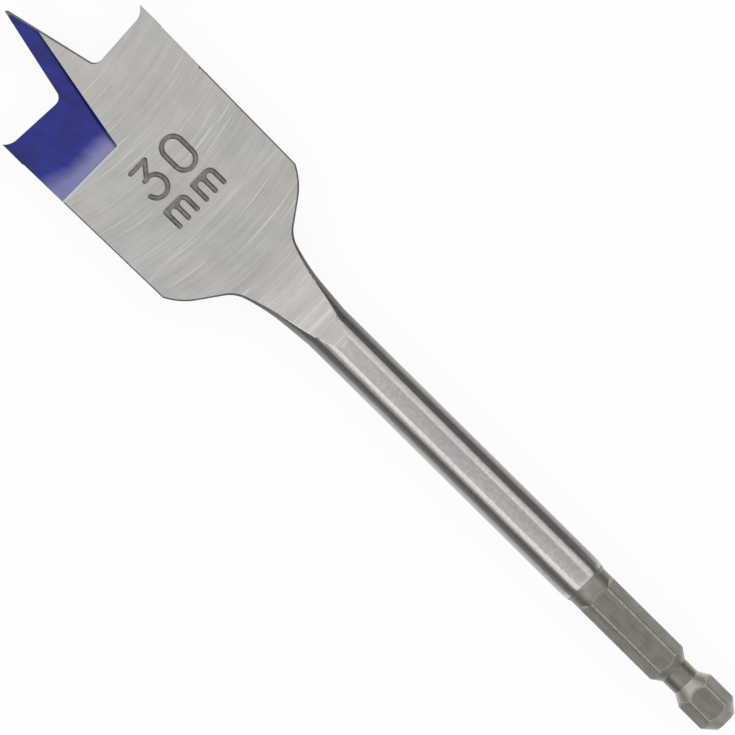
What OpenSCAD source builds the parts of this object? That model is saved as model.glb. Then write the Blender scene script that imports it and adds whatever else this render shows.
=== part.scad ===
// Spade drill bit for wood, one forged piece: a flat blade with a spear point, two lips with scooped
// grooves and two spurs, a neck that swells to a round shank, and a hexagon with a detent groove.
// Sizes are in millimetres. The axis lies along X: the origin is the centre of the shank's end face,
// the point is at -X and the blade lies flat. Distances along the axis are counted from the tip.

/* [Overall] */
// Overall length, from the tip to the shank's end
overall_length = 154.6; // [140:0.1:200]
// Cutting diameter, across the two spurs
cutting_d = 30; // [26:0.5:40]
// Thickness of the blade
blade_t = 3.2; // [2.8:0.1:3.6]

/* [Centre point] */
// Distance from the tip to the lips, at the point's root
point_length = 15.5; // [12:0.1:20]
// Angle between the axis and each edge of the point
point_half_angle = 13; // [9:0.5:15]
// Relief behind the point's edges and the lips
relief_angle = 6.5; // [5:0.5:10]
// Fillet between the point and each lip
point_root_r = 1.4; // [0.6:0.1:2]

/* [Lips and spurs] */
// Slope of the lips, whose outer ends lead
lip_slope = 3; // [0:0.5:5]
// Width of each spur at its root
spur_w = 2; // [1.6:0.1:2.2]
// Radius of the hollow inside each spur
spur_r = 2.8; // [2.7:0.1:4.5]
// Length of the full-diameter land, from the tip
land_end = 18.3; // [16.5:0.1:22]
// Step down from the land to the blade's side
land_step = 0.1; // [0.05:0.01:0.3]

/* [Lip grooves] */
// Distance from the tip to the groove's rear edge
groove_rear = 26.75; // [24:0.05:34]
// Slope of the groove's floor, deeper to the rear
groove_slope = 2.2; // [1:0.1:2.6]
// Depth of the floor at the tip
groove_tip_depth = 0.05; // [0.02:0.01:0.15]
// Radius of the run-out behind the floor
groove_runout_r = 5; // [3:0.1:8]
// Angle between the groove's wall and the axis
groove_wall_angle = 10.8; // [6:0.1:14]
// Distance from the axis to the wall at the rear edge
groove_wall_offset = 2.8; // [2:0.05:4]
// Draft of the wall
groove_wall_draft = 30; // [5:1:40]

/* [Blade and shoulders] */
// Back taper of each side of the blade
back_taper = 0.95; // [0:0.05:1.5]
// Distance from the tip to the shoulder corners
shoulder_start = 47.9; // [42:0.1:54]
// Slope of the shoulder where it leaves the corner
shoulder_lead_angle = 27; // [15:1:40]
// Slope of the shoulder at its steepest
shoulder_angle = 54.5; // [48:0.5:62]
// Radius of the rounded shoulder
shoulder_r = 11.1; // [9:0.1:13]

/* [Neck] */
// Fillet at the foot of the shoulder
neck_fillet_r = 5.1; // [3:0.1:6]
// Slope of the neck behind that fillet
neck_fillet_angle = 18; // [14:1:24]
// Radius of the long hollow of the neck
neck_r = 31.5; // [20:0.5:36]
// Taper that runs the neck out on the shank
neck_taper = 5; // [3:0.5:7]
// Height that the straight part of that taper takes up
neck_taper_h = 0.32; // [0.2:0.01:0.6]
// Distance behind the shoulder at which the faces begin to rise
ramp_lead = 3.3; // [1:0.1:5]
// Slope of the faces from the blade up to the shank
ramp_angle = 8.25; // [6:0.25:11]
// Blend between the blade's face and that slope
ramp_blend_r = 40; // [10:1:60]

/* [Shank] */
// Diameter of the round shank
shank_d = 7.7; // [7.2:0.1:8.4]
// Length of the rounded step at the shank's rear
shank_step = 1.7; // [1:0.1:3]
// Drop of the rounded edge ahead of that step
shank_edge_drop = 0.1; // [0.02:0.01:0.15]
// Distance from that edge to the collar
shank_edge = 0.7; // [0.4:0.05:0.9]
// Length of the round collar ahead of the hexagon
collar_length = 1.6; // [1:0.1:4]

/* [Hexagon] */
// Length of the hexagon
hex_length = 28.1; // [24:0.1:40]
// Width of the hexagon across its flats
hex_across_flats = 6.35; // [6.3:0.01:6.4]
// Diameter to which the hexagon's corners are rounded
hex_corner_d = 7; // [6.9:0.05:7.1]
// Slope at which the hexagon's flats begin
hex_start_angle = 25; // [12:1:45]
// Detent groove's near edge, from the shank's end
detent_near = 6.6; // [5.5:0.1:7.5]
// Detent groove's far edge, from the shank's end
detent_far = 12.7; // [12:0.1:14]
// Diameter of the detent groove's floor
detent_d = 4.84; // [4.5:0.02:5.2]
// Slope of the detent groove's near flank
detent_near_angle = 30; // [25:1:40]
// Slope of the detent groove's far flank
detent_far_angle = 35; // [28:1:45]
// Radius of the end face inside its chamfer
end_face_r = 1.85; // [1.4:0.05:2.4]
// Slope of the end chamfer
end_chamfer_angle = 41; // [35:1:50]

/* [Hidden] */
$fn = 128;
STEEL = [0.70, 0.69, 0.67];
GROOVE_BLUE = [0.17, 0.20, 0.52];
// Distance by which each cutter reaches past what it cuts
clear = 3;
// Number of straight steps in each round of the outlines
shoulder_steps = 9;
fillet_steps = 8;
hollow_steps = 7;
blend_steps = 6;
runout_steps = 12;

half_t = blade_t / 2;
cutting_r = cutting_d / 2;
shank_r = shank_d / 2;
hex_corner_r = hex_corner_d / 2;
hex_flat_r = hex_across_flats / 2;
detent_r = detent_d / 2;

// Direction square to an outline that falls towards the axis at an angle
function outward(a) = [sin(a), cos(a)];
function unit(p) = p / norm(p);
// Points along an arc of the outline, between two of its slopes. A hollow has a negative radius.
function arc(centre, r, from, to, steps) =
    [for (i = [0:steps]) centre + r * outward(from + (to - from) * i / steps)];

// Outline of the blade, shoulder and neck, as [distance from the tip, distance from the axis].
// From the corner the shoulder is a round, a straight slope, a fillet, a long hollow and a taper.
side_start = [land_end + 2 * land_step, cutting_r - land_step];
corner = [shoulder_start, side_start[1] - (shoulder_start - side_start[0]) * tan(back_taper)];
shoulder_c = corner - shoulder_r * outward(shoulder_lead_angle);
slope_top = shoulder_c + shoulder_r * outward(shoulder_angle);

// The hollow starts at the taper's front, so the neck is worked out forwards from the shank
fillet_drop = neck_fillet_r * (cos(neck_fillet_angle) - cos(shoulder_angle));
hollow_drop = neck_r * (cos(neck_taper) - cos(neck_fillet_angle));
taper_drop = neck_r * (1 - cos(neck_taper)) + neck_taper_h;
slope_foot_r = shank_r + taper_drop + hollow_drop + fillet_drop;
slope_foot = [slope_top[0] + (slope_top[1] - slope_foot_r) / tan(shoulder_angle), slope_foot_r];
fillet_c = slope_foot + neck_fillet_r * outward(shoulder_angle);
fillet_end = fillet_c - neck_fillet_r * outward(neck_fillet_angle);
hollow_c = fillet_end + neck_r * outward(neck_fillet_angle);
hollow_end = hollow_c - neck_r * outward(neck_taper);
hollow_turn = (neck_fillet_angle - neck_taper) / hollow_steps;
neck_end = [hollow_end[0] + taper_drop / tan(neck_taper), shank_r];

// Stations of the shank, the hexagon and the detent groove
hex_start = overall_length - hex_length;
collar_start = hex_start - collar_length;
detent_depth = hex_corner_r - detent_r;
far_edge = overall_length - detent_far;
near_edge = overall_length - detent_near;
end_chamfer = (hex_corner_r - end_face_r) / tan(end_chamfer_angle);

turned_outline = concat(
    [[-clear, 0], [-clear, cutting_r], [land_end, cutting_r], side_start],
    arc(shoulder_c, shoulder_r, shoulder_lead_angle, shoulder_angle, shoulder_steps),
    arc(fillet_c, -neck_fillet_r, shoulder_angle, neck_fillet_angle, fillet_steps),
    arc(hollow_c, -neck_r, neck_fillet_angle - hollow_turn, neck_taper, hollow_steps - 1),
    [neck_end,
    [collar_start - shank_step, shank_r],
    [collar_start - shank_edge, shank_r - shank_edge_drop],
    [collar_start, hex_corner_r], [far_edge, hex_corner_r],
    [far_edge + detent_depth / tan(detent_far_angle), detent_r],
    [near_edge - detent_depth / tan(detent_near_angle), detent_r],
    [near_edge, hex_corner_r], [overall_length - end_chamfer, hex_corner_r],
    [overall_length, end_face_r], [overall_length, 0]]
);

// What is cut off a corner to round it, between the two points where the round touches its sides
module corner_waste(from, centre, to, corner) {
    difference() {
        polygon([from, centre, to, corner + (corner - centre) / 2]);
        translate(centre) circle(norm(from - centre));
    }
}

// The round envelope that holds every part of the bit, turned about the axis
module turned_envelope() {
    rotate([0, 90, 0]) rotate_extrude() polygon([for (p = turned_outline) [p[1], p[0]]]);
}

// Side view of what is forged away above one face: the blade, a soft blend and the rise to the shank
ramp_foot = [slope_foot[0] + ramp_lead, half_t];
ramp_up = [cos(ramp_angle), sin(ramp_angle)];
ramp_top = ramp_foot + (cutting_r - half_t) / sin(ramp_angle) * ramp_up;
blend_c = ramp_foot + ramp_blend_r * [-tan(ramp_angle / 2), 1];

module face_cut() {
    rotate([90, 0, 0]) linear_extrude(2 * cutting_d, center = true)
        polygon(concat([[-2 * clear, half_t]],
                       arc(blend_c, -ramp_blend_r, 0, -ramp_angle, blend_steps),
                       [ramp_top, ramp_top + [0, clear], [-2 * clear, cutting_r + clear]]));
}

// Front view of one lip: the point's edge, the fillet, the lip and the hollow of the spur.
// The cutter that makes it leans by the relief angle along and across the axis, so its edges are
// carried from the blade's face to the cutter's own plane.
function on_cutter(p) =
    [p[0] * cos(relief_angle), (p[1] - p[0] * sin(relief_angle) * tan(relief_angle)) * cos(relief_angle)];
point_slope = tan(point_half_angle);
tip_half_w = half_t * tan(relief_angle) * (1 / cos(relief_angle) + point_slope);
point_root = [point_length, -tip_half_w - point_length * point_slope];
lip_outer_v = spur_w - cutting_r;
lip_outer = [point_length + (lip_outer_v - point_root[1]) * tan(lip_slope), lip_outer_v];

edge_start = on_cutter([-2 * clear, 2 * clear * point_slope - tip_half_w]);
edge_end = on_cutter(point_root);
lip_end = on_cutter(lip_outer);
edge_dir = unit(edge_start - edge_end);
lip_dir = unit(lip_end - edge_end);
spur_c = lip_end + spur_r * [lip_dir[1], -lip_dir[0]];
spur_peak = lip_end + (spur_c[1] - spur_r - lip_end[1]) / lip_dir[1] * lip_dir;
root_half_angle = acos(edge_dir * lip_dir) / 2;
root_tangent = point_root_r / tan(root_half_angle);
root_c = edge_end + point_root_r / sin(root_half_angle) * unit(edge_dir + lip_dir);

module lip_front() {
    difference() {
        polygon([edge_start, edge_end, spur_peak, [-2 * clear, spur_peak[1]]]);
        corner_waste(edge_end + root_tangent * edge_dir, root_c, edge_end + root_tangent * lip_dir, edge_end);
        corner_waste(lip_end, spur_c, spur_c - [0, spur_r], spur_peak);
    }
}

module lip_front_cut() {
    translate([0, 0, half_t]) rotate([relief_angle, -relief_angle, 0])
        linear_extrude(4 * cutting_d, center = true) lip_front();
}

// Scooped groove on one face: a sloping floor with a round run-out, inside a leaning wall.
// The run-out touches the floor and meets the blade's face at the groove's rear edge.
floor_fall = tan(groove_slope);
runout_rise = groove_runout_r / cos(groove_slope) - groove_tip_depth;
runout_b = groove_rear + runout_rise * floor_fall;
runout_a = 1 + floor_fall * floor_fall;
runout_q = groove_rear * groove_rear + runout_rise * runout_rise - groove_runout_r * groove_runout_r;
runout_u = (runout_b - sqrt(runout_b * runout_b - runout_a * runout_q)) / runout_a;
runout_c = [runout_u, half_t + runout_rise - runout_u * floor_fall];
runout_exit = acos((runout_c[1] - half_t - clear) / groove_runout_r);

module groove_side_view() {
    polygon(concat([[-clear, half_t - groove_tip_depth + clear * floor_fall]],
                   arc(runout_c, -groove_runout_r, groove_slope, -runout_exit, runout_steps),
                   [[-clear, half_t + clear]]));
}

module lip_groove() {
    color(GROOVE_BLUE) intersection() {
        rotate([90, 0, 0]) linear_extrude(2 * cutting_d, center = true) groove_side_view();
        translate([groove_rear, -groove_wall_offset, half_t])
            rotate([-groove_wall_draft, 0, -groove_wall_angle])
            translate([-2 * groove_rear, -2 * cutting_d, -2 * cutting_d])
            cube([4 * groove_rear, 2 * cutting_d, 3 * cutting_d]);
    }
}

// Half-space outside one flat of the hexagon, with a sloping start
module hex_flat_cut() {
    drop = hex_corner_r - hex_flat_r;
    start_u = hex_start - clear / tan(hex_start_angle);
    flat_u = hex_start + drop / tan(hex_start_angle);
    rotate([90, 0, 0]) linear_extrude(4 * hex_corner_d, center = true)
        polygon([[start_u, hex_corner_r + clear], [flat_u, hex_flat_r],
                 [overall_length + clear, hex_flat_r], [overall_length + clear, hex_corner_r + clear]]);
}

module turned_and_forged() {
    difference() {
        turned_envelope();
        for (turn = [0, 180]) rotate([turn, 0, 0]) face_cut();
    }
}

// Each lip has its cutting edge on one face, so the second is the first turned half round the axis
module one_lip() {
    difference() {
        turned_and_forged();
        lip_front_cut();
    }
}

module both_lips() {
    difference() {
        one_lip();
        rotate([180, 0, 0]) lip_front_cut();
    }
}

module one_groove() {
    difference() {
        both_lips();
        lip_groove();
    }
}

module both_grooves() {
    difference() {
        one_groove();
        rotate([180, 0, 0]) lip_groove();
    }
}

module spade_bit() {
    color(STEEL) translate([-overall_length, 0, 0]) difference() {
        both_grooves();
        for (i = [0:5]) rotate([60 * i, 0, 0]) hex_flat_cut();
    }
}

spade_bit();
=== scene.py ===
"""Dresses a forged spade drill bit: a fine mesh of the ground blade, round shank and hexagon, with its
size mark cut into the face, blue lacquer in the lip grooves, and a plain pale studio round it."""
import math
from functools import partial

import bmesh
import bpy
from mathutils import Matrix, Vector


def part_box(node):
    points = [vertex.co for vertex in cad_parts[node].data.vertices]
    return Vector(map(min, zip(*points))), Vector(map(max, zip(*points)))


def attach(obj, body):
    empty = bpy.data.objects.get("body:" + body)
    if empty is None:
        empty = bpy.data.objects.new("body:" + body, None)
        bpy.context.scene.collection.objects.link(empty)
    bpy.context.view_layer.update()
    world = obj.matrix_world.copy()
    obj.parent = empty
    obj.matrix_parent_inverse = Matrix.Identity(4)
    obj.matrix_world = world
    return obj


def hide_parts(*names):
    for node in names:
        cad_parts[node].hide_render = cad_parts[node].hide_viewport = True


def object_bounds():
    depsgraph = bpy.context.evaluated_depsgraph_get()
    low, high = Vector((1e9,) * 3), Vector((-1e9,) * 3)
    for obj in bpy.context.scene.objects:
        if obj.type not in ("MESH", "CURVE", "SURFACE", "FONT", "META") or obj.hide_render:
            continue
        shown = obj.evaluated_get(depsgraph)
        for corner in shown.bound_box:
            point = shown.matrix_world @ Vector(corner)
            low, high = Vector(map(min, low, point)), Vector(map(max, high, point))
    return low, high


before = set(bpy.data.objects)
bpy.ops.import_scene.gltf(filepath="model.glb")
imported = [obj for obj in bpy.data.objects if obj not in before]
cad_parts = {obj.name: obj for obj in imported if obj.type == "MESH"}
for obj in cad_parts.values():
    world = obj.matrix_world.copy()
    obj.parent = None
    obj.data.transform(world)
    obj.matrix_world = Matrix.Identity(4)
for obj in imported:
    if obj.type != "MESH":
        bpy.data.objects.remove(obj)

bl_info = {
    "name": "Spade drill bit",
    "version": (1, 0, 0),
    "blender": (4, 5, 0),
    "location": "View3D > Sidebar > Spade bit",
    "description": "Builds the finish of a forged spade drill bit round its solid",
    "category": "Add Mesh",
}

NODE = "spade_bit"
CAD_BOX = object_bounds()
BIT_LOW, BIT_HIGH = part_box(NODE)
BIT_LENGTH = BIT_HIGH[0] - BIT_LOW[0]
CUTTING_WIDTH = BIT_HIGH[1] - BIT_LOW[1]
SHANK_WIDTH = BIT_HIGH[2] - BIT_LOW[2]
MM = 0.001
# The mesh is worked out in millimetres and brought to metres at the end
TO_MM = 1 / MM
# Distance, in millimetres, by which each cutter reaches past what it cuts
CLEAR = 3
TURN_STEPS = 192
# Turns that bring a cutter to the upper face and to the lower one
BOTH_FACES = (Matrix.Identity(4), Matrix.Rotation(math.pi, 4, "X"))


def length(name, description, default):
    """A length in metres, written in millimetres."""
    return bpy.props.FloatProperty(name=name, description=description, default=default * MM,
                                   unit="LENGTH", precision=5, min=0)


def angle(name, description, default):
    """An angle, written in degrees."""
    return bpy.props.FloatProperty(name=name, description=description, default=math.radians(default),
                                   subtype="ANGLE")


def linear(hex_colour):
    """The linear colour of an sRGB hex value."""
    parts = [int(hex_colour[i:i + 2], 16) / 255 for i in (1, 3, 5)]
    return [p / 12.92 if p <= 0.04045 else ((p + 0.055) / 1.055) ** 2.4 for p in parts]


def colour(name, description, hex_colour):
    """A colour, written as an sRGB hex value."""
    return bpy.props.FloatVectorProperty(name=name, description=description, subtype="COLOR", size=3,
                                         default=linear(hex_colour), min=0, max=1)


class HeadSizes(bpy.types.PropertyGroup):
    """Sizes of the cutting head: point, lips, spurs and lip grooves."""
    cutting_d: length("Cutting diameter", "Width across the two spurs", CUTTING_WIDTH * TO_MM)
    blade_t: length("Blade thickness", "Thickness of the flat blade", 3.2)
    point_length: length("Point length", "From the tip to the lips at the point's root", 15.5)
    point_half_angle: angle("Point half angle", "Between the axis and each edge of the point", 13)
    relief: angle("Relief", "Relief behind the point's edges and the lips", 6.5)
    point_root_r: length("Point root radius", "Fillet between the point and each lip", 1.4)
    lip_slope: angle("Lip slope", "Slope of the lips, whose outer ends lead", 3)
    spur_w: length("Spur width", "Width of each spur at its root", 2)
    spur_r: length("Spur radius", "Hollow inside each spur", 2.8)
    land_end: length("Land end", "Length of the full-diameter land, from the tip", 18.3)
    land_step: length("Land step", "Step from the land to the blade's side", 0.1)
    groove_rear: length("Groove rear", "From the tip to the groove's rear edge", 26.75)
    groove_slope: angle("Groove slope", "Slope of the groove's floor", 2.2)
    groove_tip_depth: length("Groove tip depth", "Depth of the floor at the tip", 0.05)
    groove_runout_r: length("Groove run-out", "Radius of the run-out behind the floor", 5)
    groove_wall_angle: angle("Groove wall angle", "Between the groove's wall and the axis", 10.8)
    groove_wall_offset: length("Groove wall offset", "From the axis to the wall at the rear", 2.8)
    groove_wall_draft: angle("Groove wall draft", "Lean of the groove's wall", 30)


class NeckSizes(bpy.types.PropertyGroup):
    """Sizes of the shoulders and of the neck that swells to the shank."""
    back_taper: angle("Back taper", "Taper of each side of the blade", 0.95)
    shoulder_start: length("Shoulder start", "From the tip to the shoulder corners", 47.9)
    shoulder_lead: angle("Shoulder lead", "Slope of the shoulder at its corner", 27)
    shoulder_angle: angle("Shoulder slope", "Slope of the shoulder at its steepest", 54.5)
    shoulder_r: length("Shoulder radius", "Radius of the rounded shoulder", 11.1)
    fillet_r: length("Fillet", "Fillet at the foot of the shoulder", 5.1)
    fillet_angle: angle("Fillet slope", "Slope of the neck behind the fillet", 18)
    hollow_r: length("Hollow", "Radius of the long hollow of the neck", 31.5)
    taper: angle("Neck taper", "Taper that runs the neck out on the shank", 5)
    taper_h: length("Taper height", "Height that the straight part of the taper takes up", 0.32)
    ramp_lead: length("Ramp lead", "From the shoulder's foot to the rise of the faces", 3.3)
    ramp_angle: angle("Ramp slope", "Slope of the faces up to the shank", 8.25)
    ramp_blend_r: length("Ramp blend", "Blend between the blade's face and that slope", 40)
    edge_round: length("Edge round", "Round along the forging's edges", 0.32)


class ShankSizes(bpy.types.PropertyGroup):
    """Sizes of the round shank, the hexagon and its detent groove."""
    overall: length("Overall length", "From the tip to the shank's end", BIT_LENGTH * TO_MM)
    shank_d: length("Shank diameter", "Diameter of the round shank", SHANK_WIDTH * TO_MM)
    step: length("Shank step", "Length of the rounded step at the shank's rear", 1.7)
    edge_drop: length("Edge drop", "Drop of the rounded edge ahead of the step", 0.1)
    edge: length("Edge", "From the rounded edge to the collar", 0.7)
    collar: length("Collar", "Length of the round collar ahead of the hexagon", 1.6)
    hex_length: length("Hexagon length", "Length of the hexagon", 28.1)
    across_flats: length("Across flats", "Width of the hexagon across its flats", 6.35)
    corner_d: length("Corner diameter", "Diameter of the hexagon's rounded corners", 7)
    flat_start: angle("Flat start", "Slope at which the hexagon's flats begin", 25)
    detent_near: length("Detent near edge", "From the shank's end", 6.6)
    detent_far: length("Detent far edge", "From the shank's end", 12.7)
    detent_d: length("Detent diameter", "Diameter of the detent groove's floor", 4.84)
    detent_near_angle: angle("Detent near flank", "Slope of the near flank", 30)
    detent_far_angle: angle("Detent far flank", "Slope of the far flank", 35)
    end_face_r: length("End face radius", "Radius of the end face inside its chamfer", 1.85)
    end_chamfer: angle("End chamfer", "Slope of the end chamfer", 41)


class MarkSizes(bpy.types.PropertyGroup):
    """Sizes of the plain size mark stamped in the blade's face."""
    digits_front: length("Digits front", "From the tip to the tops of the digits", 31.2)
    digit_h: length("Digit height", "Height of a digit between its stroke centres", 5.9)
    digit_w: length("Digit width", "Width of a digit between its stroke centres", 3.5)
    digit_gap: length("Digit gap", "Half the gap between the digits, from the axis", 1.25)
    unit_front: length("Unit front", "From the tip to the tops of the unit's letters", 39.1)
    unit_h: length("Unit height", "Height of the unit's letters", 3.05)
    unit_w: length("Unit width", "Width of a unit letter between its stroke centres", 3.75)
    unit_gap: length("Unit gap", "Half the gap between the letters, from the axis", 1.03)
    stroke_w: length("Stroke width", "Width of the stamped stroke at the face", 0.84)
    stroke_floor: length("Stroke floor", "Width of the stroke's flat floor", 0.34)
    stroke_depth: length("Stroke depth", "Depth of the stamped stroke", 0.2)


class Finishes(bpy.types.PropertyGroup):
    """Colours of the steel, the lacquer and the stage."""
    ground: colour("Ground steel", "Blade and sloping faces, ground across", "#c6c4c1")
    satin: colour("Satin steel", "Forged shank and neck, smooth", "#cac7c3")
    dark: colour("Dark steel", "Hexagon, collar and detent groove", "#88847d")
    # Also the colour of the painted highlights where the hexagon's flats meet its turned slopes
    worn: colour("Worn steel", "Corners of the hexagon, rubbed bright by the holder", "#bdb8b1")
    lacquer: colour("Lacquer", "Blue lacquer in the lip grooves", "#131e78")
    # Painted reflection: the lavender that the lit run-out shows, laid into the lacquer as a colour
    runout_reflection: colour("Thin lacquer", "Lacquer wiped thin over the groove's run-out", "#7b7eac")
    stamped: colour("Stamped steel", "Bruised steel in the size mark", "#8b8884")
    warm_cast: colour("Warm cast", "Tint of the steel where it is warmest", "#fffdfb")
    cool_cast: colour("Cool cast", "Tint of the ground steel where it is coolest", "#fbfcfd")
    violet_cast: colour("Violet cast", "Tint of the forged shank in places", "#fbf9fd")
    floor: colour("Floor", "Pale floor under the bit", "#f4f4f4")


def outward(a):
    """Direction square to an outline that falls towards the axis at an angle."""
    return Vector((math.sin(a), math.cos(a)))


def arc(centre, r, start, end, steps):
    """Points along an arc of the outline between two of its slopes. A hollow has a negative radius."""
    return [centre + r * outward(start + (end - start) * i / steps) for i in range(steps + 1)]


def sizes_in_mm(group):
    """Plain numbers of a size group: lengths in millimetres and angles in radians."""
    plain = {}
    for name, prop in group.bl_rna.properties.items():
        if prop.type == "FLOAT":
            value = getattr(group, name)
            plain[name] = value * TO_MM if prop.unit == "LENGTH" else value
    return plain


class Plan:
    """The bit's outline and cutters, worked out from its driving sizes in millimetres."""

    def __init__(self, scene):
        h = sizes_in_mm(scene.bit_head)
        n = sizes_in_mm(scene.bit_neck)
        s = sizes_in_mm(scene.bit_shank)
        self.head, self.neck, self.shank = h, n, s
        self.half_t = h["blade_t"] / 2
        self.cutting_r = h["cutting_d"] / 2
        self.shank_r = s["shank_d"] / 2
        self.corner_r = s["corner_d"] / 2
        self.flat_r = s["across_flats"] / 2
        self.overall = s["overall"]
        self.hex_start = self.overall - s["hex_length"]
        self.collar_start = self.hex_start - s["collar"]
        self.flats_from = self.hex_start + (self.corner_r - self.flat_r) / math.tan(s["flat_start"])
        self.neck_outline()
        self.ramp()

    def neck_outline(self):
        """Half outline of the turned body: land, blade's side, shoulder, neck and all behind it."""
        h, n = self.head, self.neck
        side = Vector((h["land_end"] + 2 * h["land_step"], self.cutting_r - h["land_step"]))
        run = n["shoulder_start"] - side.x
        corner = Vector((n["shoulder_start"], side.y - run * math.tan(n["back_taper"])))
        shoulder_c = corner - n["shoulder_r"] * outward(n["shoulder_lead"])
        slope_top = shoulder_c + n["shoulder_r"] * outward(n["shoulder_angle"])
        fillet_drop = n["fillet_r"] * (math.cos(n["fillet_angle"]) - math.cos(n["shoulder_angle"]))
        hollow_drop = n["hollow_r"] * (math.cos(n["taper"]) - math.cos(n["fillet_angle"]))
        taper_drop = n["hollow_r"] * (1 - math.cos(n["taper"])) + n["taper_h"]
        foot_r = self.shank_r + taper_drop + hollow_drop + fillet_drop
        foot_u = slope_top.x + (slope_top.y - foot_r) / math.tan(n["shoulder_angle"])
        self.slope_foot = Vector((foot_u, foot_r))
        fillet_c = self.slope_foot + n["fillet_r"] * outward(n["shoulder_angle"])
        fillet_end = fillet_c - n["fillet_r"] * outward(n["fillet_angle"])
        hollow_c = fillet_end + n["hollow_r"] * outward(n["fillet_angle"])
        hollow_end = hollow_c - n["hollow_r"] * outward(n["taper"])
        neck_end = Vector((hollow_end.x + taper_drop / math.tan(n["taper"]), self.shank_r))
        hollow = arc(hollow_c, -n["hollow_r"], n["fillet_angle"], n["taper"], 14)
        self.outline = [Vector((-CLEAR, 0)), Vector((-CLEAR, self.cutting_r)),
                        Vector((h["land_end"], self.cutting_r)), side]
        # Two points close together behind the grooves, between which the round along the edges runs out
        for rounds in (0.6, 2):
            behind_groove = h["groove_rear"] + rounds * n["edge_round"]
            self.outline.append(side.lerp(corner, (behind_groove - side.x) / run))
        self.outline += arc(shoulder_c, n["shoulder_r"], n["shoulder_lead"], n["shoulder_angle"], 18)
        self.outline += arc(fillet_c, -n["fillet_r"], n["shoulder_angle"], n["fillet_angle"], 16)
        self.outline += hollow[1:] + [neck_end] + self.rear_outline()

    def rear_outline(self):
        """Half outline from the shank's step to its end, with the detent groove."""
        s = self.shank
        depth = self.corner_r - s["detent_d"] / 2
        far = self.overall - s["detent_far"]
        near = self.overall - s["detent_near"]
        chamfer = (self.corner_r - s["end_face_r"]) / math.tan(s["end_chamfer"])
        stations = [(self.collar_start - s["step"], self.shank_r),
                    (self.collar_start - s["edge"], self.shank_r - s["edge_drop"]),
                    (self.collar_start, self.corner_r),
                    (self.flats_from, self.corner_r),
                    (far, self.corner_r),
                    (far + depth / math.tan(s["detent_far_angle"]), s["detent_d"] / 2),
                    (near - depth / math.tan(s["detent_near_angle"]), s["detent_d"] / 2),
                    (near, self.corner_r),
                    (self.overall - chamfer, self.corner_r),
                    (self.overall, s["end_face_r"]),
                    (self.overall, 0)]
        return [Vector(p) for p in stations]

    def rear_slopes(self):
        """The turned slopes that the flats run into: place, radius there, slope, and how strong the painted
        highlight is along its edge and on the slope itself."""
        s = self.shank
        floor_r = s["detent_d"] / 2
        depth = self.corner_r - floor_r
        far, near = math.tan(s["detent_far_angle"]), math.tan(s["detent_near_angle"])
        return [(self.overall - s["detent_far"] + depth / far, floor_r, -far, 0.3, 0.0),
                (self.overall - s["detent_near"] - depth / near, floor_r, near, 0.6, 0.5),
                (self.overall, s["end_face_r"], -math.tan(s["end_chamfer"]), 0.5, 0.08)]

    def ramp(self):
        """Where the blade's faces begin to rise, how steeply, and where they run out on the shank."""
        n = self.neck
        self.ramp_foot = Vector((self.slope_foot.x + n["ramp_lead"], self.half_t))
        self.ramp_slope = math.tan(n["ramp_angle"])
        self.ramp_end = self.ramp_foot.x + (self.shank_r - self.half_t) / self.ramp_slope

    def face_height(self, u):
        """Height of the forged face above the axis, without its blend."""
        return self.half_t + max(0, u - self.ramp_foot.x) * self.ramp_slope

    def face_cut(self):
        """Side view of what is cut away over a face: flat along the blade, then up the ramp."""
        n = self.neck
        r = n["ramp_blend_r"]
        centre = self.ramp_foot + r * Vector((-math.tan(n["ramp_angle"] / 2), 1))
        top_u = self.ramp_foot.x + (self.cutting_r - self.half_t) / self.ramp_slope
        high = self.cutting_r + CLEAR
        points = [Vector((-2 * CLEAR, self.half_t))] + arc(centre, -r, 0, -n["ramp_angle"], 10)
        return points + [Vector((top_u, self.cutting_r)), Vector((top_u, high)), Vector((-2 * CLEAR, high))]

    def lip_front(self):
        """Front view of one lip in its leaning cutter's own plane, and the cutter's place."""
        h = self.head
        lean = h["relief"]
        slope = math.tan(h["point_half_angle"])
        tip_half_w = self.half_t * math.tan(lean) * (1 / math.cos(lean) + slope)

        def on_cutter(u, v):
            across = v - u * math.sin(lean) * math.tan(lean)
            return Vector((u * math.cos(lean), across * math.cos(lean)))

        root_v = -tip_half_w - h["point_length"] * slope
        outer_v = h["spur_w"] - self.cutting_r
        outer_u = h["point_length"] + (outer_v - root_v) * math.tan(h["lip_slope"])
        start = on_cutter(-2 * CLEAR, 2 * CLEAR * slope - tip_half_w)
        root = on_cutter(h["point_length"], root_v)
        lip_end = on_cutter(outer_u, outer_v)
        edge_dir = (start - root).normalized()
        lip_dir = (lip_end - root).normalized()
        half = edge_dir.angle(lip_dir) / 2
        root_r = h["point_root_r"]
        root_c = root + (edge_dir + lip_dir).normalized() * root_r / math.sin(half)
        spur_c = lip_end + h["spur_r"] * Vector((lip_dir.y, -lip_dir.x))
        points = [start]
        points += round_between(root + edge_dir * root_r / math.tan(half), root_c,
                                root + lip_dir * root_r / math.tan(half), 12)
        points += round_between(lip_end, spur_c, spur_c - Vector((0, h["spur_r"])), 20)
        points.append(Vector((-2 * CLEAR, spur_c.y - h["spur_r"])))
        place = Matrix.Translation((-self.overall, 0, self.half_t))
        place = place @ Matrix.Rotation(-lean, 4, "Y") @ Matrix.Rotation(lean, 4, "X")
        return points, place

    def groove_floor(self):
        """Side view of a lip groove: its sloping floor and round run-out."""
        h = self.head
        fall = math.tan(h["groove_slope"])
        r = h["groove_runout_r"]
        rise = r / math.cos(h["groove_slope"]) - h["groove_tip_depth"]
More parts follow.
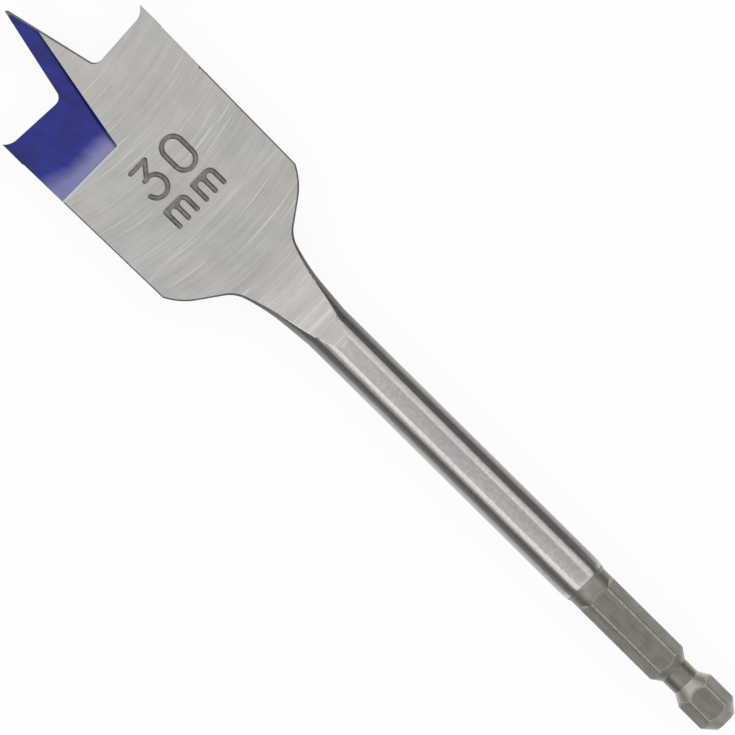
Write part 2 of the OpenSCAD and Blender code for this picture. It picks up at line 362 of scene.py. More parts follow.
        # The run-out touches the floor and meets the face at the rear edge, so its centre is the nearer
        # root of a quadratic equation
        b = h["groove_rear"] + rise * fall
        a = 1 + fall * fall
        q = h["groove_rear"] ** 2 + rise * rise - r * r
        u = (b - math.sqrt(b * b - a * q)) / a
        centre = Vector((u, self.half_t + rise - u * fall))
        leave = math.acos((centre.y - self.half_t - CLEAR) / r)
        points = [Vector((-CLEAR, self.half_t - h["groove_tip_depth"] + CLEAR * fall))]
        points += arc(centre, -r, h["groove_slope"], -leave, 40)
        return points + [Vector((-CLEAR, self.half_t + CLEAR))]

    def hex_flat(self):
        """Side view of what is cut away over one flat of the hexagon."""
        high = self.corner_r + CLEAR
        ahead = self.hex_start - CLEAR / math.tan(self.shank["flat_start"])
        return [Vector((ahead, high)), Vector((self.flats_from, self.flat_r)),
                Vector((self.overall + CLEAR, self.flat_r)), Vector((self.overall + CLEAR, high))]


def round_between(start, centre, end, steps):
    """Points on a round from one tangent point to another, the short way."""
    a = start - centre
    turn = a.angle_signed(end - centre)
    points = []
    for i in range(steps + 1):
        t = -turn * i / steps
        points.append(centre + Vector((a.x * math.cos(t) - a.y * math.sin(t),
                                       a.x * math.sin(t) + a.y * math.cos(t))))
    return points


def new_object(name, mesh_form, materials=()):
    """An object in the scene from a bmesh, with its materials."""
    bmesh.ops.recalc_face_normals(mesh_form, faces=mesh_form.faces)
    mesh = bpy.data.meshes.new(name)
    mesh_form.to_mesh(mesh)
    mesh_form.free()
    for material in materials:
        mesh.materials.append(material)
    made = bpy.data.objects.new(name, mesh)
    bpy.context.scene.collection.objects.link(made)
    return made


def turned(name, outline, shift, materials):
    """A body turned about the X axis from its half outline."""
    form = bmesh.new()
    rings = []
    for p in outline:
        if p.y == 0:
            rings.append([form.verts.new((p.x - shift, 0, 0))])
            continue
        ring = []
        for i in range(TURN_STEPS):
            t = 2 * math.pi * (i + 0.5) / TURN_STEPS
            ring.append(form.verts.new((p.x - shift, p.y * math.cos(t), p.y * math.sin(t))))
        rings.append(ring)
    for ring, after in zip(rings, rings[1:]):
        for i in range(TURN_STEPS):
            j = (i + 1) % TURN_STEPS
            corners = [ring[i % len(ring)], ring[j % len(ring)], after[j % len(after)], after[i % len(after)]]
            form.faces.new(list(dict.fromkeys(corners)))
    return new_object(name, form, materials)


def prism(name, points, place, half_depth, materials=()):
    """A straight prism on a flat outline, standing on its own plane and moved to its place."""
    form = bmesh.new()
    low = [form.verts.new(place @ Vector((p.x, p.y, -half_depth))) for p in points]
    high = [form.verts.new(place @ Vector((p.x, p.y, half_depth))) for p in points]
    form.faces.new(low)
    form.faces.new(high)
    for i in range(len(points)):
        j = (i + 1) % len(points)
        form.faces.new([low[i], low[j], high[j], high[i]])
    return new_object(name, form, materials)


def combine(piece, cutter, operation):
    """Cuts or keeps a piece by another, which is then gone. New faces take the cutter's material."""
    step = piece.modifiers.new(operation, "BOOLEAN")
    step.operation = operation
    step.solver = "EXACT"
    step.object = cutter
    step.material_mode = "TRANSFER"
    bpy.context.view_layer.update()
    shaped = piece.evaluated_get(bpy.context.evaluated_depsgraph_get())
    mesh = bpy.data.meshes.new_from_object(shaped)
    piece.modifiers.clear()
    piece.data = mesh
    if not mesh.polygons:
        raise RuntimeError("a cut left nothing of " + piece.name)
    bpy.data.objects.remove(cutter)


def across(shift):
    """Place of a prism whose outline is a side view, along the axis and up."""
    return Matrix.Translation((-shift, 0, 0)) @ Matrix.Rotation(math.pi / 2, 4, "X")


def stroke_paths(mark):
    """Centre lines of the size mark, as points (from the tip, from the axis), each with whether it is closed.
    The mark reads with the tip up."""
    top = mark["digits_front"]
    high, wide, gap = mark["digit_h"], mark["digit_w"], mark["digit_gap"]
    paths = []

    def round_arc(cu, cv, ru, rv, start, end, steps):
        angles = [math.radians(start + (end - start) * i / steps) for i in range(steps + 1)]
        return [Vector((cu - ru * math.sin(t), cv + rv * math.cos(t))) for t in angles]

    # Three: a flat top, a slant back to the middle and a bowl that is a little taller than round
    left = -gap - wide
    bowl_r = wide / 2
    bowl_h = 1.06 * bowl_r
    bowl = round_arc(top + high - bowl_h, left + bowl_r, bowl_h, bowl_r, 112, -165, 36)
    bar_end = Vector((top, left + wide * 0.96))
    paths.append(([Vector((top, left + 0.1 * wide)), bar_end], False))
    paths.append(([bar_end, Vector((top + 0.4 * high, left + 0.4 * wide))], False))
    paths.append((bowl, False))
    # Nought: a tall loop with round ends
    nought_v = gap + wide / 2
    r = wide / 2
    nought = round_arc(top + r, nought_v, r, r, 0, 180, 20)
    nought += round_arc(top + high - r, nought_v, r, r, 180, 360, 20)
    paths.append((nought, True))
    # The unit: two letters of three stems under two arches and a flat top
    front, tall, letter = mark["unit_front"], mark["unit_h"], mark["unit_w"]
    for start in (-mark["unit_gap"] - letter, mark["unit_gap"]):
        arch_r = letter / 4
        foot = front + tall
        paths.append(([Vector((foot, start)), Vector((front, start))], False))
        paths.append(([Vector((front, start)), Vector((front, start + 3 * arch_r))], False))
        for k in (0, 1):
            v = start + 2 * arch_r * k
            arch = round_arc(front + arch_r, v + arch_r, arch_r, arch_r, 180, 0, 14)
            paths.append((arch + [Vector((foot, v + 2 * arch_r))], False))
    return paths


def stroke_cutter(name, path, closed, mark, place, material):
    """A stamp along one stroke: a flat floor, leaning walls and round ends."""
    form = bmesh.new()
    depth = mark["stroke_depth"]
    floor_w, face_w = mark["stroke_floor"] / 2, mark["stroke_w"] / 2
    count = len(path)
    cap_steps = 10

    def square_to(i):
        """Direction square to the stroke at one of its points."""
        before, after = (i - 1, (i + 1) % count) if closed else (max(i - 1, 0), min(i + 1, count - 1))
        d = (path[after] - path[before]).normalized()
        return Vector((-d.y, d.x))

    def loops(width):
        """Both sides of a closed stroke, or the whole outline of an open one."""
        left = [p + width * square_to(i) for i, p in enumerate(path)]
        right = [p - width * square_to(i) for i, p in enumerate(path)]
        if closed:
            return [left, right]
        outline = left
        for end, n, back in ((-1, square_to(count - 1), right[::-1]), (0, -square_to(0), [])):
            d = Vector((n.y, -n.x))
            for k in range(1, cap_steps):
                t = math.pi * k / cap_steps
                outline.append(path[end] + width * (n * math.cos(t) + d * math.sin(t)))
            outline += back
        return [outline]

    def add_loops(width, z):
        return [[form.verts.new(place @ Vector((p.x, p.y, z))) for p in points] for points in loops(width)]

    def bridge(a, b):
        for i in range(len(a)):
            j = (i + 1) % len(a)
            form.faces.new([a[i], a[j], b[j], b[i]])

    # The walls lean on above the face by as much as below it
    low, high = add_loops(floor_w, -depth), add_loops(2 * face_w - floor_w, depth)
    for a, b in zip(low, high):
        bridge(a, b)
    for level in (low, high):
        if closed:
            bridge(*level)
        else:
            form.faces.new(level[0])
    return new_object(name, form, [material])


def add_node(tree, kind, inputs=(), **settings):
    """Adds a shader node with its settings, and sets or links its inputs, given in order or by socket. A node
    given as an input stands for its first output."""
    made = tree.nodes.new("ShaderNode" + kind)
    for name, value in settings.items():
        setattr(made, name, value)
    pairs = inputs.items() if isinstance(inputs, dict) else enumerate(inputs)
    for socket, value in pairs:
        if isinstance(value, bpy.types.Node):
            value = value.outputs[0]
        if isinstance(value, bpy.types.NodeSocket):
            tree.links.new(value, made.inputs[socket])
        else:
            made.inputs[socket].default_value = value
    return made


def new_tree(owner):
    """Empties the node tree of a material or a world, and gives the function that adds nodes to it."""
    owner.use_nodes = True
    owner.node_tree.nodes.clear()
    return partial(add_node, owner.node_tree)


def millimetre_place(add):
    """The place on the bit in millimetres."""
    place = add("TexCoord")
    return add("VectorMath", {0: place.outputs["Object"], "Scale": TO_MM}, operation="SCALE")


def two_tone(add, noise, low, high, first, second):
    """A colour that goes from the first to the second as a noise rises between two limits."""
    share = add("MapRange", (noise, low, high))
    mixed = add("Mix", {0: share, 6: (*first, 1), 7: (*second, 1)}, data_type="RGBA")
    return mixed.outputs[2]


def ground_steel(finishes, plan):
    """Carbon steel ground across the blade: pale grey with fine streaks whose ends bend to the tip, a soft
    sheen, a few brighter scratches where a coarse grain bit deeper, a faint warm or cool cast, painted glints
    along a few lines across the faces and a painted highlight along the edge behind each groove."""
    material = bpy.data.materials.new("carbon_steel_ground")
    add = new_tree(material)
    place = millimetre_place(add)
    along, aside, up = add("SeparateXYZ", [place]).outputs
    # The wheel's track is an arc of about 50 mm radius, and its marks are about 30 times as long as wide
    track_r, mark_length = 50, 30
    square = add("Math", (aside, aside), operation="MULTIPLY")
    bow = add("Math", (square, 1 / (2 * track_r), along), operation="MULTIPLY_ADD")
    drawn = add("Math", (aside, 1 / mark_length), operation="MULTIPLY")
    track = add("CombineXYZ", (bow, drawn, up))
    # Grit of about 0.15 mm is drawn 0.3 mm wide so that it shows
    grit, band_w, patch_w, scratch_gap, cast_w = 0.3, 2.5, 3.3, 0.5, 11
    fine = add("TexNoise", {"Vector": track, "Scale": 1 / grit, "Detail": 4, "Roughness": 0.65})
    bands = add("TexNoise", {"Vector": track, "Scale": 1 / band_w, "Detail": 2})
    patches = add("TexNoise", {"Vector": place, "Scale": 1 / patch_w, "Detail": 3})
    # The tone comes half from the fine streaks, and a quarter each from bands and patches
    streaks = add("Math", (fine, 0.5), operation="MULTIPLY")
    banded = add("Math", (bands, 0.25, streaks), operation="MULTIPLY_ADD")
    worn = add("Math", (patches, 0.25, banded), operation="MULTIPLY_ADD")
    base = Vector(finishes.ground)
    tone = two_tone(add, worn, 0.36, 0.64, base * 0.84, base * 1.14)
    # Sparse scratches
    sparse = add("TexNoise", {"Vector": track, "Scale": 1 / scratch_gap, "Detail": 1})
    bright = add("MapRange", (sparse, 0.66, 0.72, 0, 0.75))
    # Painted glints along thin lines across the faces, where small forging ridges would catch the light, each
    # with its distance from the tip and its strength
    line_core, line_reach = 0.12, 0.34
    for from_tip, strength in ((44.6, 0.3), (65.7, 0.45), (67.5, 0.8), (72.7, 0.5)):
        off = add("Math", (along, from_tip - plan.overall), operation="SUBTRACT")
        near = add("Math", [off], operation="ABSOLUTE")
        glint_line = add("MapRange", (near, line_core, line_reach, strength, 0))
        bright = add("Math", (bright, glint_line), operation="MAXIMUM")
    # A painted highlight along the bare edge behind each groove, on the half of the face that holds the
    # groove
    rear = plan.head["groove_rear"] - plan.overall
    half = add("Math", (aside, up), operation="MULTIPLY")
    wall = plan.head["groove_wall_offset"] * plan.half_t
    beside = add("Math", (half, -wall), operation="LESS_THAN")
    behind = add("MapRange", (along, rear + 0.15, rear + 0.4, 0.8, 0))
    clear = add("Math", (along, rear - 1), operation="GREATER_THAN")
    edge = add("Math", (behind, beside), operation="MULTIPLY")
    rear_edge_highlight = add("Math", (edge, clear), operation="MULTIPLY")
    bright = add("Math", (bright, rear_edge_highlight), operation="MAXIMUM")
    # The scratches, the painted glints and the painted edge highlight are laid over the tone in a paler steel
    shown = add("Mix", {0: bright, 6: tone, 7: (*(base * 1.3), 1)}, data_type="RGBA")
    # The cast is cooler towards -Y, and warmer from the shoulders up the neck
    warm_from, warm_full = 46 - plan.overall, 56 - plan.overall
    cloud = add("TexNoise", {"Vector": place, "Scale": 1 / cast_w, "Detail": 2})
    cooler = add("Math", (aside, -0.004, cloud), operation="MULTIPLY_ADD")
    warmth = add("MapRange", (along, warm_from, warm_full, 0, 0.12))
    cast = add("Math", (cooler, warmth), operation="SUBTRACT")
    tint = two_tone(add, cast, 0.4, 0.6, finishes.warm_cast, finishes.cool_cast)
    tinted = add("Mix", {0: 1, 6: shown.outputs[2], 7: tint}, data_type="RGBA", blend_type="MULTIPLY")
    rough = add("MapRange", (worn, 0.3, 0.7, 0.46, 0.36))
    bump = add("Bump", {"Height": fine, "Strength": 0.12, "Distance": 0.02 * MM})
    shader = add("BsdfPrincipled", {
        "Base Color": tinted.outputs[2], "Metallic": 1, "Roughness": rough, "Normal": bump})
    add("OutputMaterial", {"Surface": shader})
    return material


def satin_steel(finishes):
    """Forged steel rolled smooth: it mirrors the lamps in clean bands, broken by a faint orange peel, with
    clouds of warm and violet cast."""
    material = bpy.data.materials.new("carbon_steel_forged_satin")
    add = new_tree(material)
    place = millimetre_place(add)
    peel_w, cloud_w, cloud_length = 0.6, 3, 8
    peel = add("TexNoise", {"Vector": place, "Scale": 1 / peel_w, "Detail": 4, "Roughness": 0.6})
    base = Vector(finishes.satin)
    tone = two_tone(add, peel, 0.3, 0.7, base * 0.87, base * 1.09)
    drawn = add("VectorMath", (place, (1 / cloud_length, 1 / cloud_w, 1 / cloud_w)), operation="MULTIPLY")
    clouds = add("TexNoise", {"Vector": drawn, "Scale": 1, "Detail": 3})
    tint = two_tone(add, clouds, 0.42, 0.62, finishes.warm_cast, finishes.violet_cast)
    tinted = add("Mix", {0: 1, 6: tone, 7: tint}, data_type="RGBA", blend_type="MULTIPLY")
    bump = add("Bump", {"Height": peel, "Strength": 0.15, "Distance": 0.04 * MM})
    shader = add("BsdfPrincipled", {
        "Base Color": tinted.outputs[2], "Metallic": 1, "Roughness": 0.2, "Normal": bump})
    add("OutputMaterial", {"Surface": shader})
    return material


def dark_steel(finishes, plan):
    """Drawn steel left as heat treated: a darker warm grey with a dull sheen, blotched and with faint
    lengthwise lines, a little paler round the turned collar, and with painted highlights where the flats meet
    the turned slopes and on those slopes themselves."""
    material = bpy.data.materials.new("carbon_steel_heat_treated")
    add = new_tree(material)
    place = millimetre_place(add)
    along, aside, up = add("SeparateXYZ", [place]).outputs
    line_w, line_length, blotch_w = 0.4, 5.5, 1.8
    drawn = add("VectorMath", (place, (1 / line_length, 1 / line_w, 1 / line_w)), operation="MULTIPLY")
    lines = add("TexNoise", {"Vector": drawn, "Scale": 1, "Detail": 3})
    blotches = add("TexNoise", {"Vector": place, "Scale": 1 / blotch_w, "Detail": 4, "Roughness": 0.6})
    mottled = add("Math", (lines, blotches), operation="ADD")
    base = Vector(finishes.dark)
    tone = two_tone(add, mottled, 0.75, 1.25, base * 0.82, base * 1.14)
    flats = plan.flats_from - plan.overall
    collar = add("MapRange", (along, flats - 1.2, flats, 0.5, 0))
    shown = add("Mix", {0: collar, 6: tone, 7: (*(base * 1.5), 1)}, data_type="RGBA")
    outwards = add("CombineXYZ", {1: aside, 2: up})
    from_axis = add("VectorMath", [outwards], operation="LENGTH").outputs["Value"]
    # The painted highlight line lies on the flats, just under the slope that they run into, in the pale
    # colour of the rubbed corners
    line_depth, line_core, line_reach = 0.12, 0.04, 0.1
    for start, start_r, slope, edge_highlight, slope_highlight in plan.rear_slopes():
        # Depth under the slope's surface, which is a cone: none on the slope, and more out on the flats
        run = add("Math", (along, start - plan.overall), operation="SUBTRACT")
        surface = add("Math", (run, slope, start_r), operation="MULTIPLY_ADD")
        under = add("Math", (surface, from_axis), operation="SUBTRACT")
        depth = add("Math", [under], operation="ABSOLUTE")
        slope_highlight_mask = add("MapRange", (depth, 0.01, 0.04, slope_highlight, 0))
        off = add("Math", (under, line_depth), operation="SUBTRACT")
        near = add("Math", [off], operation="ABSOLUTE")
        edge_highlight_mask = add("MapRange", (near, line_core, line_reach, edge_highlight, 0))
        painted_highlight = add("Math", (edge_highlight_mask, slope_highlight_mask), operation="MAXIMUM")
        shown = add("Mix", {0: painted_highlight, 6: shown.outputs[2], 7: (*finishes.worn, 1)}, data_type="RGBA")
    bump = add("Bump", {"Height": lines, "Strength": 0.15, "Distance": 0.03 * MM})
    shader = add("BsdfPrincipled", {
        "Base Color": shown.outputs[2], "Metallic": 1, "Roughness": 0.44, "Normal": bump})
    add("OutputMaterial", {"Surface": shader})
    return material


def worn_steel(finishes):
    """The same steel where a holder rubbed it: paler and brighter lines along the hexagon's corners."""
    material = bpy.data.materials.new("carbon_steel_rubbed")
    add = new_tree(material)
    rub_length = 0.8
    grain = add("TexNoise", {"Vector": millimetre_place(add), "Scale": 1 / rub_length, "Detail": 3})
    base = Vector(finishes.worn)
    tone = two_tone(add, grain, 0.35, 0.65, base * 0.8, base * 1.1)
    shader = add("BsdfPrincipled", {"Base Color": tone, "Metallic": 1, "Roughness": 0.34})
    add("OutputMaterial", {"Surface": shader})
    return material


def blue_lacquer(finishes, plan):
    """Blue lacquer brushed into the grooves and baked: a deep glossy blue with painted shade in the corner
    along the wall, worn off the very tip, and with a painted lavender reflection over the run-out."""
    material = bpy.data.materials.new("baked_lacquer_blue")
    add = new_tree(material)
    place = millimetre_place(add)
    along, aside, up = add("SeparateXYZ", [place]).outputs
    # Strokes of a brush, at a slant to the axis
    stroke_length, stroke_w, stroke_turn = 5, 2, math.radians(35)
    brushed = add("Mapping", {
        0: place, "Rotation": (0, 0, stroke_turn), "Scale": (stroke_length, stroke_w, stroke_w)},
        vector_type="TEXTURE")
    pools = add("TexNoise", {"Vector": brushed, "Scale": 1, "Detail": 4, "Roughness": 0.6})
    base = Vector(finishes.lacquer)
    tone = two_tone(add, pools, 0.32, 0.68, base * 0.62, base * 1.42)
    # The painted lavender reflection of the lit run-out reaches further forward, but is weaker, at the
    # blade's side
    rear = plan.head["groove_rear"] - plan.overall
    reflection_from, reflection_full = rear - 2.7, rear - 0.2
    wavy = add("Math", (pools, 1.6, along), operation="MULTIPLY_ADD")
    from_axis = add("Math", [aside], operation="ABSOLUTE")
    spread = add("MapRange", (from_axis, 10.5, 15, 0, 1.8))
    reach = add("Math", (wavy, spread), operation="ADD")
    strongest_reflection = add("MapRange", (from_axis, 6, 14, 0.92, 0.76))
    # Share of the painted reflection laid over the lacquer on the run-out
    thin = add("MapRange", (reach, reflection_from, reflection_full, 0, strongest_reflection))
    wiped = add("Mix", {0: thin, 6: tone, 7: (*finishes.runout_reflection, 1)}, data_type="RGBA")
    # Distance from the groove's wall, the same on both faces
    side = add("Math", [up], operation="SIGN")
    beside = add("Math", (aside, side), operation="MULTIPLY")
    slope = math.tan(plan.head["groove_wall_angle"])
    wall_at_origin = rear * slope - plan.head["groove_wall_offset"]
    wall = add("Math", (along, -slope, wall_at_origin), operation="MULTIPLY_ADD")
    from_wall = add("Math", (wall, beside), operation="SUBTRACT")
    # Painted shade that darkens the lacquer in the corner along the groove's wall
    wall_shade = add("MapRange", (from_wall, 0.2, 0.75, 0.75, 0))
    coat = add("Mix", {0: wall_shade, 6: wiped.outputs[2], 7: (*(base * 0.25), 1)}, data_type="RGBA")
    # Bare, dull steel at the very tip
    bare_to, coat_from = 1.4 - plan.overall, 2 - plan.overall
    steel = Vector(finishes.dark) * 0.6
    bare = add("MapRange", (wavy, bare_to, coat_from, 1, 0))
    shown = add("Mix", {0: bare, 6: coat.outputs[2], 7: (*steel, 1)}, data_type="RGBA")
    bump = add("Bump", {"Height": pools, "Strength": 0.1, "Distance": 0.05 * MM})
    shader = add("BsdfPrincipled", {
        "Base Color": shown.outputs[2], "Roughness": 0.3, "IOR": 1.5, "Normal": bump})
    add("OutputMaterial", {"Surface": shader})
    return material


def stamped_steel(finishes):
    """Steel bruised by a stamp: darker and duller than the ground face round it, in blotches."""
    material = bpy.data.materials.new("carbon_steel_stamped")
    add = new_tree(material)
    blotch_w = 0.9
    place = millimetre_place(add)
    grain = add("TexNoise", {"Vector": place, "Scale": 1 / blotch_w, "Detail": 4, "Roughness": 0.65})
    base = Vector(finishes.stamped)
    tone = two_tone(add, grain, 0.3, 0.62, base * 0.6, base * 1.12)
    shader = add("BsdfPrincipled", {"Base Color": tone, "Metallic": 1, "Roughness": 0.45})
    add("OutputMaterial", {"Surface": shader})
    return material


def round_outline(piece, plan, width):
    """Rounds the forging's edges where its faces meet the turned sides, from the grooves to the shank."""
    form = bmesh.new()
    form.from_mesh(piece.data)

    def on_outline(vert):
        u = vert.co.x + plan.overall
        inside = plan.head["groove_rear"] + width < u < plan.ramp_end
        return inside and abs(abs(vert.co.z) - plan.face_height(u)) < width

    edges = [e for e in form.edges if len(e.link_faces) == 2 and e.calc_face_angle() > math.radians(30)
             and on_outline(e.verts[0]) and on_outline(e.verts[1])]
    bmesh.ops.bevel(form, geom=edges, offset=width, segments=3, profile=0.5, affect="EDGES")
    form.to_mesh(piece.data)
    form.free()


def choose_finish(piece, plan, keep):
    """Gives each face that no cutter coloured the finish of its place on the bit."""
    slots = {m.name: i for i, m in enumerate(piece.data.materials)}
    kept = {slots[name] for name in keep}
    ground = slots["carbon_steel_ground"]
    satin = slots["carbon_steel_forged_satin"]
    dark = slots["carbon_steel_heat_treated"]
    worn = slots["carbon_steel_rubbed"]
    dark_from = plan.collar_start - plan.shank["edge"]
    # Only the crown of each corner is rubbed
    crown = math.radians(2.9)
    corner_depth = 0.05
    # Least rise of the normal on a ground face and on the crown of its round
    ground_rise = 0.93
    for face in piece.data.polygons:
        if face.material_index in kept:
            continue
        u = face.center.x + plan.overall
        on_face = abs(face.normal.z) > ground_rise and u < plan.ramp_end
        from_axis = math.hypot(face.center.y, face.center.z)
        turn = math.atan2(face.center.z, face.center.y) % (math.pi / 3)
        on_crown = min(turn, math.pi / 3 - turn) < crown and from_axis > plan.corner_r - corner_depth
        level = abs(face.normal.x) < 0.01
        if u > plan.flats_from and level and on_crown:
            face.material_index = worn
        elif u > dark_from:
            face.material_index = dark
        elif on_face or u < plan.neck["shoulder_start"]:
            face.material_index = ground
        else:
            face.material_index = satin


def smooth_by_angle(piece, limit):
    """Shades the piece smooth, with an edge wherever two faces meet at more than the limit."""
    form = bmesh.new()
    form.from_mesh(piece.data)
    for face in form.faces:
        face.smooth = True
    for edge in form.edges:
        edge.smooth = len(edge.link_faces) == 2 and edge.calc_face_angle(math.pi) < limit
    form.to_mesh(piece.data)
    form.free()
    step = piece.modifiers.new("even_shading", "WEIGHTED_NORMAL")
    step.keep_sharp = True
    step.weight = 100


class BIT_OT_body(bpy.types.Operator):
    """Builds the bit's fine mesh, with its size mark, and stands it for the solid."""
    bl_idname = "spade_bit.body"
    bl_label = "Build the bit"

    def execute(self, context):
        scene = context.scene
        plan = Plan(scene)
        mark = sizes_in_mm(scene.bit_mark)
        finishes = scene.bit_finishes
        ground = ground_steel(finishes, plan)
        satin = satin_steel(finishes)
        dark = dark_steel(finishes, plan)
        lacquer = blue_lacquer(finishes, plan)
        stamped = stamped_steel(finishes)
        worn = worn_steel(finishes)
        body = turned("bit_body", plan.outline, plan.overall, [ground, satin, dark, worn, lacquer, stamped])
        width = 2 * plan.cutting_r
        for turn in BOTH_FACES:
            combine(body, prism("face", plan.face_cut(), turn @ across(plan.overall), width), "DIFFERENCE")
        for turn in BOTH_FACES:
            points, place = plan.lip_front()
            combine(body, prism("lip", points, turn @ place, 2 * width), "DIFFERENCE")
        for turn in BOTH_FACES:
            combine(body, self.groove(plan, turn, lacquer), "DIFFERENCE")
        for i in range(6):
            turn = Matrix.Rotation(i * math.pi / 3, 4, "X")
            combine(body, prism("flat", plan.hex_flat(), turn @ across(plan.overall), width), "DIFFERENCE")
        round_outline(body, plan, scene.bit_neck.edge_round * TO_MM)
        place = Matrix.Translation((-plan.overall, 0, plan.half_t))
        for path, closed in stroke_paths(mark):
            combine(body, stroke_cutter("stroke", path, closed, mark, place, stamped), "DIFFERENCE")
        choose_finish(body, plan, (lacquer.name, stamped.name))
        smooth_by_angle(body, math.radians(18))
        body.data.transform(Matrix.Scale(MM, 4))
        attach(body, "root")
        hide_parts(NODE)
        return {"FINISHED"}

    def groove(self, plan, turn, lacquer):
        """Cutter of one lip groove, kept to its side of the leaning wall."""
        h = plan.head
        width = 2 * plan.cutting_r
        floor = prism("groove", plan.groove_floor(), turn @ across(plan.overall), width, [lacquer])
        place = Matrix.Translation((h["groove_rear"] - plan.overall, -h["groove_wall_offset"], plan.half_t))
        place = place @ Matrix.Rotation(-h["groove_wall_angle"], 4, "Z")
        place = place @ Matrix.Rotation(-h["groove_wall_draft"], 4, "X")
        back, side = 2 * h["groove_rear"], 2 * width
        square = [Vector((-back, -side)), Vector((back, -side)), Vector((back, 0)), Vector((-back, 0))]
        wall = prism("wall", square, turn @ place, 2 * width, [lacquer])
        combine(floor, wall, "INTERSECT")
        return floor


class StageSizes(bpy.types.PropertyGroup):
    """Sizes of the stage: floor, lamps and camera."""
    camera_height: length("Camera height", "Above the bit's axis", 600)
    view_width: length("View width", "Width of the picture at the bit's axis", 112.4)
    centre_from_tip: length("View centre", "From the tip to the middle of the picture", 77.63)
    view_turn: angle("View turn", "Turn of the picture against the bit's axis", 44.656)
    floor_width: length("Floor width", "Width of the floor", 4000)
    lamp_distance: length("Lamp distance", "From the bit to each long lamp", 500)
    lamp_length: length("Lamp length", "Length of each long lamp", 1200)
    left_width: length("Left lamp width", "Width of the lamp at -Y", 222)
    left_lean: angle("Left lamp lean", "Between straight up and the lamp at -Y", 45.5)
    left_power: bpy.props.FloatProperty(name="Left lamp power", description="Power of the lamp at -Y",
                                        default=0.58, min=0, unit="POWER")
    right_width: length("Right lamp width", "Width of the lamp at +Y", 287)
    right_lean: angle("Right lamp lean", "Between straight up and the lamp at +Y", 48)
    right_power: bpy.props.FloatProperty(name="Right lamp power", description="Power of the lamp at +Y",
                                         default=0.67, min=0, unit="POWER")


def floor_material(finishes):
    """Matt white paper sweep: bright to the eye, with a faint shadow under the bit. In the steel it is
    bright close to the bit and falls dark outwards, as between black flags beside a shiny tool."""
    material = bpy.data.materials.new("paper_sweep_matt")
    add = new_tree(material)
    paper = add("BsdfDiffuse", {"Color": (*finishes.floor, 1)})
    place = add("NewGeometry")
    along, aside = add("SeparateXYZ", [place.outputs["Position"]]).outputs[:2]
    # Distances from the axis, and places along the bit
    bright_to, dark_from = 4 * MM, 28 * MM
    neck, shank = BIT_LOW[0] + 60 * MM, BIT_LOW[0] + 82 * MM
    shank_end, hexagon = BIT_LOW[0] + 122 * MM, BIT_LOW[0] + 130 * MM
    away = add("Math", [aside], operation="ABSOLUTE")
    flags = add("MapRange", (away, bright_to, dark_from, 0.75, 0.135), interpolation_type="SMOOTHSTEP")
    # The flags close in under the head, and the floor is brighter round the hexagon
    open_floor = add("MapRange", (along, neck, shank, 0.25, 1))
    rear_floor = add("MapRange", (along, shank_end, hexagon, 1, 2))
    lengthwise = add("Math", (open_floor, rear_floor), operation="MULTIPLY")
    # It is brighter at -Y beside the shank, and at +Y beside the hexagon
    side = add("MapRange", (aside, -dark_from, dark_from, -1, 1))
    favour = add("MapRange", (along, shank_end, hexagon, -0.45, 0.22))
    uneven = add("Math", (side, favour, 1), operation="MULTIPLY_ADD")
    spread = add("Math", (lengthwise, uneven), operation="MULTIPLY")
    lit = add("Math", (flags, spread), operation="MULTIPLY")
    ray = add("LightPath").outputs
    in_steel = add("Math", (ray["Is Glossy Ray"], lit), operation="MULTIPLY")
    direct = add("Math", (ray["Is Camera Ray"], ray["Is Transmission Ray"]), operation="MAXIMUM")
    bright = add("Math", (direct, in_steel), operation="MAXIMUM")
    glow = add("Emission", {"Color": (1, 1, 1, 1), "Strength": bright})
    # What is left of the paper's own shade keeps the shadow
    seen = add("Math", (direct, ray["Is Glossy Ray"]), operation="MAXIMUM")
    share = add("Math", (seen, 0.92), operation="MULTIPLY")
    add("OutputMaterial", {"Surface": add("MixShader", (share, paper, glow))})
    return material


def studio_world():
    """A room that is pale overhead and dark at the sides, with a window beyond the point and a bright wall
    beyond the shank."""
    world = bpy.data.worlds.new("studio_room")
    add = new_tree(world)
    place = add("TexCoord")
    # Directions in the room, each part from -1 to 1
    along, aside, up = add("SeparateXYZ", [place.outputs["Generated"]]).outputs
    overhead = add("MapRange", (up, 0.38, 0.85, 0.155, 0.705))
    window = add("MapRange", (along, -0.2, -0.85, 0, 1.2))
    wall = add("MapRange", (along, 0.25, 0.9, 0, 0.9))
    # Both are narrow, so the shoulders' edges and the sides of the detent groove stay dark
    off_axis = add("Math", [aside], operation="ABSOLUTE")
    window_width = add("MapRange", (off_axis, 0.4, 0.62, 1, 0.2))
    wall_width = add("MapRange", (off_axis, 0.42, 0.58, 1, 0.05))
    narrow_wall = add("Math", (wall, wall_width), operation="MULTIPLY")
    ends = add("Math", (window, window_width, narrow_wall), operation="MULTIPLY_ADD")
    # High up it is brighter on the -Y side
    high_side = add("Math", (aside, up), operation="MULTIPLY")
    uneven = add("Math", (high_side, -0.3, 1), operation="MULTIPLY_ADD")
    level = add("Math", (overhead, uneven, ends), operation="MULTIPLY_ADD")
    light = add("Background", {"Color": (1, 1, 1, 1), "Strength": level})
    add("OutputWorld", {"Surface": light})
    return world


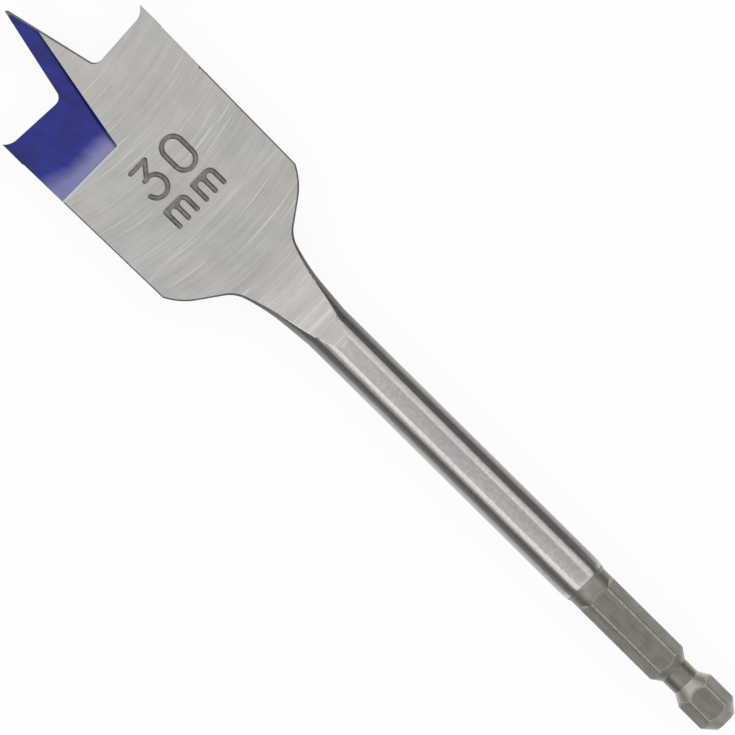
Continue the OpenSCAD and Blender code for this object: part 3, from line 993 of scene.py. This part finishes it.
class BIT_OT_stage(bpy.types.Operator):
    """Lays the pale floor and sets the lamps and the camera."""
    bl_idname = "spade_bit.stage"
    bl_label = "Set the stage"

    def execute(self, context):
        scene = context.scene
        stage = scene.bit_stage
        centre = Vector((BIT_LOW[0] + stage.centre_from_tip, 0, 0))
        form = bmesh.new()
        bmesh.ops.create_grid(form, x_segments=4, y_segments=4, size=stage.floor_width / 2)
        floor = new_object("floor", form, [floor_material(scene.bit_finishes)])
        floor.location = (centre.x, 0, CAD_BOX[0][2])
        scene.world = studio_world()
        for name, side in (("left", -1), ("right", 1)):
            lamp = bpy.data.lights.new(name + "_lamp", "AREA")
            lamp.shape = "RECTANGLE"
            lamp.size = stage.lamp_length
            lamp.size_y = getattr(stage, name + "_width")
            lamp.energy = getattr(stage, name + "_power")
            holder = bpy.data.objects.new(name + "_lamp", lamp)
            lean = side * getattr(stage, name + "_lean")
            away = Vector((0, math.sin(lean), math.cos(lean)))
            holder.location = centre + away * stage.lamp_distance
            holder.rotation_euler = (-lean, 0, 0)
            scene.collection.objects.link(holder)
        camera = bpy.data.cameras.new("camera")
        camera.sensor_width = 36
        camera.lens = camera.sensor_width * stage.camera_height / stage.view_width
        eye = bpy.data.objects.new("camera", camera)
        eye.location = centre + Vector((0, 0, stage.camera_height))
        eye.rotation_euler = (0, 0, stage.view_turn)
        scene.collection.objects.link(eye)
        scene.camera = eye
        scene.view_settings.view_transform = "Standard"
        return {"FINISHED"}


class BIT_PT_panel(bpy.types.Panel):
    """Lists the bit's operators and sizes in the sidebar."""
    bl_label = "Spade bit"
    bl_idname = "BIT_PT_panel"
    bl_space_type = "VIEW_3D"
    bl_region_type = "UI"
    bl_category = "Spade bit"

    def draw(self, context):
        layout = self.layout
        layout.operator(BIT_OT_body.bl_idname)
        layout.operator(BIT_OT_stage.bl_idname)
        for group_name in GROUPS:
            group = getattr(context.scene, group_name)
            box = layout.box()
            for name in group.__annotations__:
                box.prop(group, name)


GROUPS = {"bit_head": HeadSizes, "bit_neck": NeckSizes, "bit_shank": ShankSizes, "bit_mark": MarkSizes,
          "bit_finishes": Finishes, "bit_stage": StageSizes}
OPERATORS = (BIT_OT_body, BIT_OT_stage)


def register():
    for cls in (*GROUPS.values(), *OPERATORS, BIT_PT_panel):
        bpy.utils.register_class(cls)
    for name, cls in GROUPS.items():
        setattr(bpy.types.Scene, name, bpy.props.PointerProperty(type=cls))


def unregister():
    for name in GROUPS:
        delattr(bpy.types.Scene, name)
    for cls in (BIT_PT_panel, *reversed(OPERATORS), *reversed(GROUPS.values())):
        bpy.utils.unregister_class(cls)


def main():
    register()
    bpy.ops.spade_bit.body()
    bpy.ops.spade_bit.stage()


if __name__ == "__main__":
    main()
